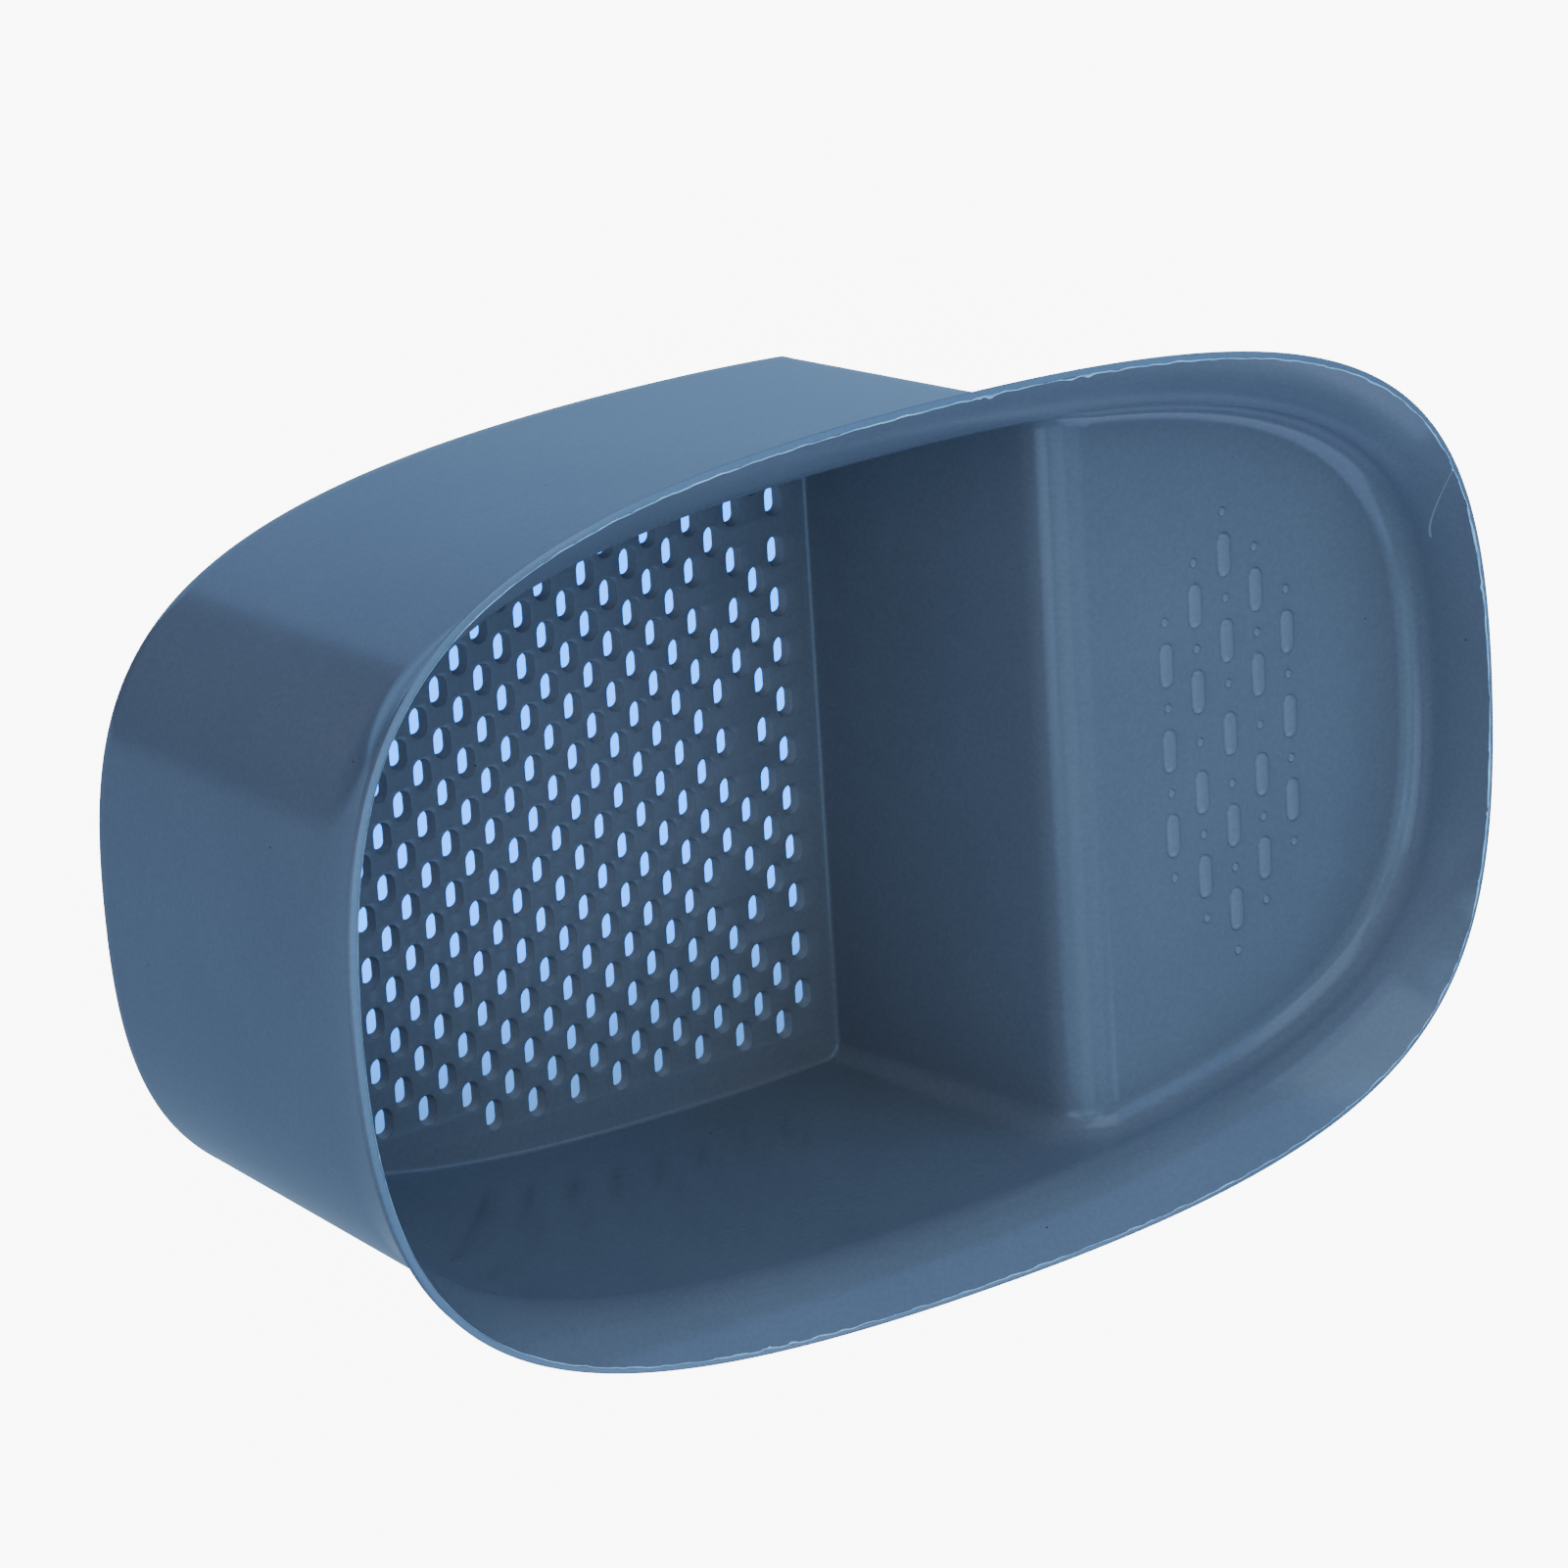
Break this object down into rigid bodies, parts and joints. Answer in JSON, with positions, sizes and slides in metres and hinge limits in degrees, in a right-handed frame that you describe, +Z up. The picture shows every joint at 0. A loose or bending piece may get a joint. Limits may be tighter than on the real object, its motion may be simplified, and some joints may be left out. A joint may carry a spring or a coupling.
{
  "type": "sink drain basket",
  "caption": "Oval moulded sink drain basket: a deep bin with a slotted floor, a shallow shelf with a raised grip pattern beside it, and one flared rim.",
  "frame": {"origin": "middle of the basket's bounding box, at the height of the surface that it stands on", "axes": "+X along the length from the bin to the shelf, +Y across, +Z up out of the mouth; the basket is the same on both sides of the XZ plane"},
  "size_m": [0.2656, 0.1722, 0.091],
  "materials": {
    "slate_blue_plastic": "semi-gloss moulded plastic"
  },
  "bodies": {
    "root": {"bin_wall": "slate_blue_plastic", "strainer_floor": "slate_blue_plastic", "divider_wall": "slate_blue_plastic", "shelf_tray": "slate_blue_plastic", "rim_flange": "slate_blue_plastic"}
  },
  "joints": []
}
